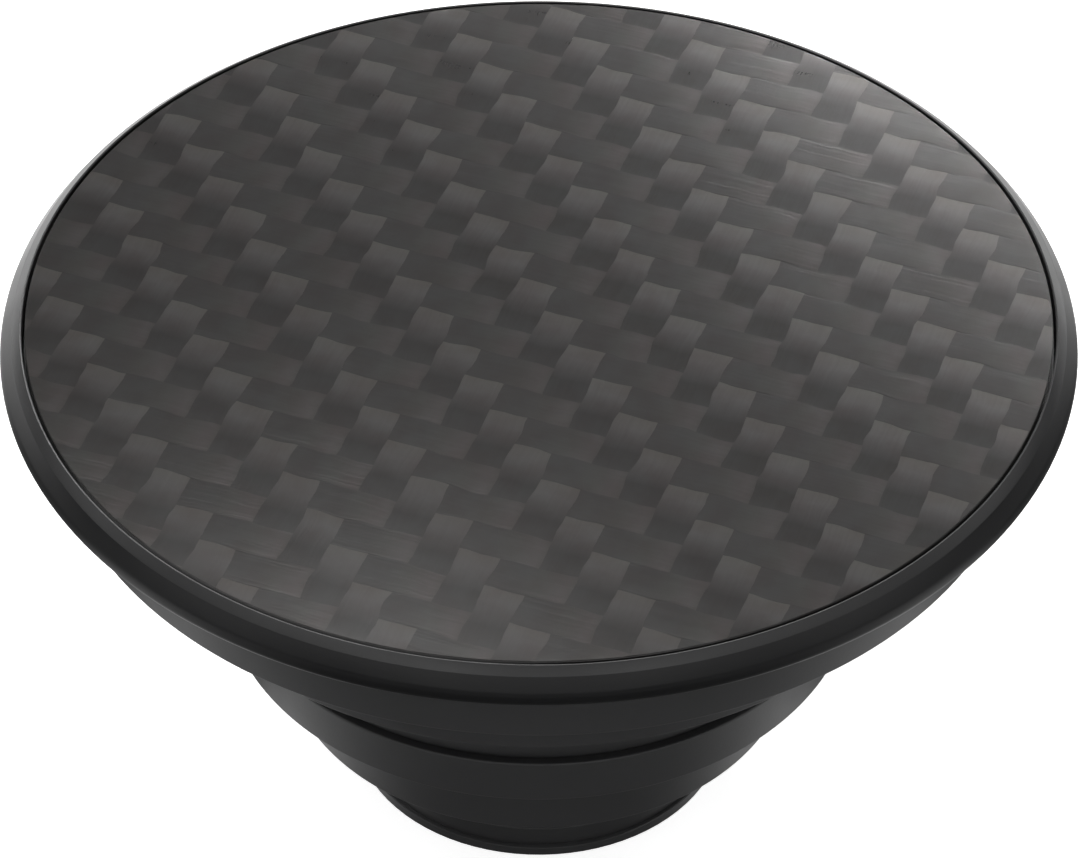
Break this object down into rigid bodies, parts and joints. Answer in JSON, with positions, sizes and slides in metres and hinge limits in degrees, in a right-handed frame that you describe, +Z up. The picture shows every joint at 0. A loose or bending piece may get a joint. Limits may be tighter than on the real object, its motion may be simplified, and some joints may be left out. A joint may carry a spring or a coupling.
{
  "type": "collapsible phone grip top",
  "caption": "Collapsible phone grip top: a round cap with a carbon twill inlay on a stepped folding bellows that ends in a small twist-lock foot.",
  "frame": {"origin": "centre of the foot's lower face, on the stem's axis", "axes": "+Z up the stem's axis towards the cap; -Y is the side seen in the picture; the foot's notches lie along X"},
  "size_m": [0.0398, 0.0398, 0.0213],
  "materials": {
    "cap": "moulded black polycarbonate, satin gloss",
    "carbon": "carbon fibre twill under smooth clear resin",
    "film": "clear acrylic adhesive film",
    "bellows": "moulded black thermoplastic elastomer, satin",
    "foot": "moulded black polycarbonate, fine matt"
  },
  "bodies": {
    "foot": {"twist_foot": "foot", "bellows": "bellows"},
    "top": {"cap": "cap", "carbon_inlay": "carbon", "inlay_adhesive": "film"}
  },
  "joints": [
    {"name": "collapse", "type": "slide", "parent": "foot", "child": "top", "axis": [0, 0, 1], "range_m": [-0.0165, 0], "deforming": ["bellows"]}
  ]
}
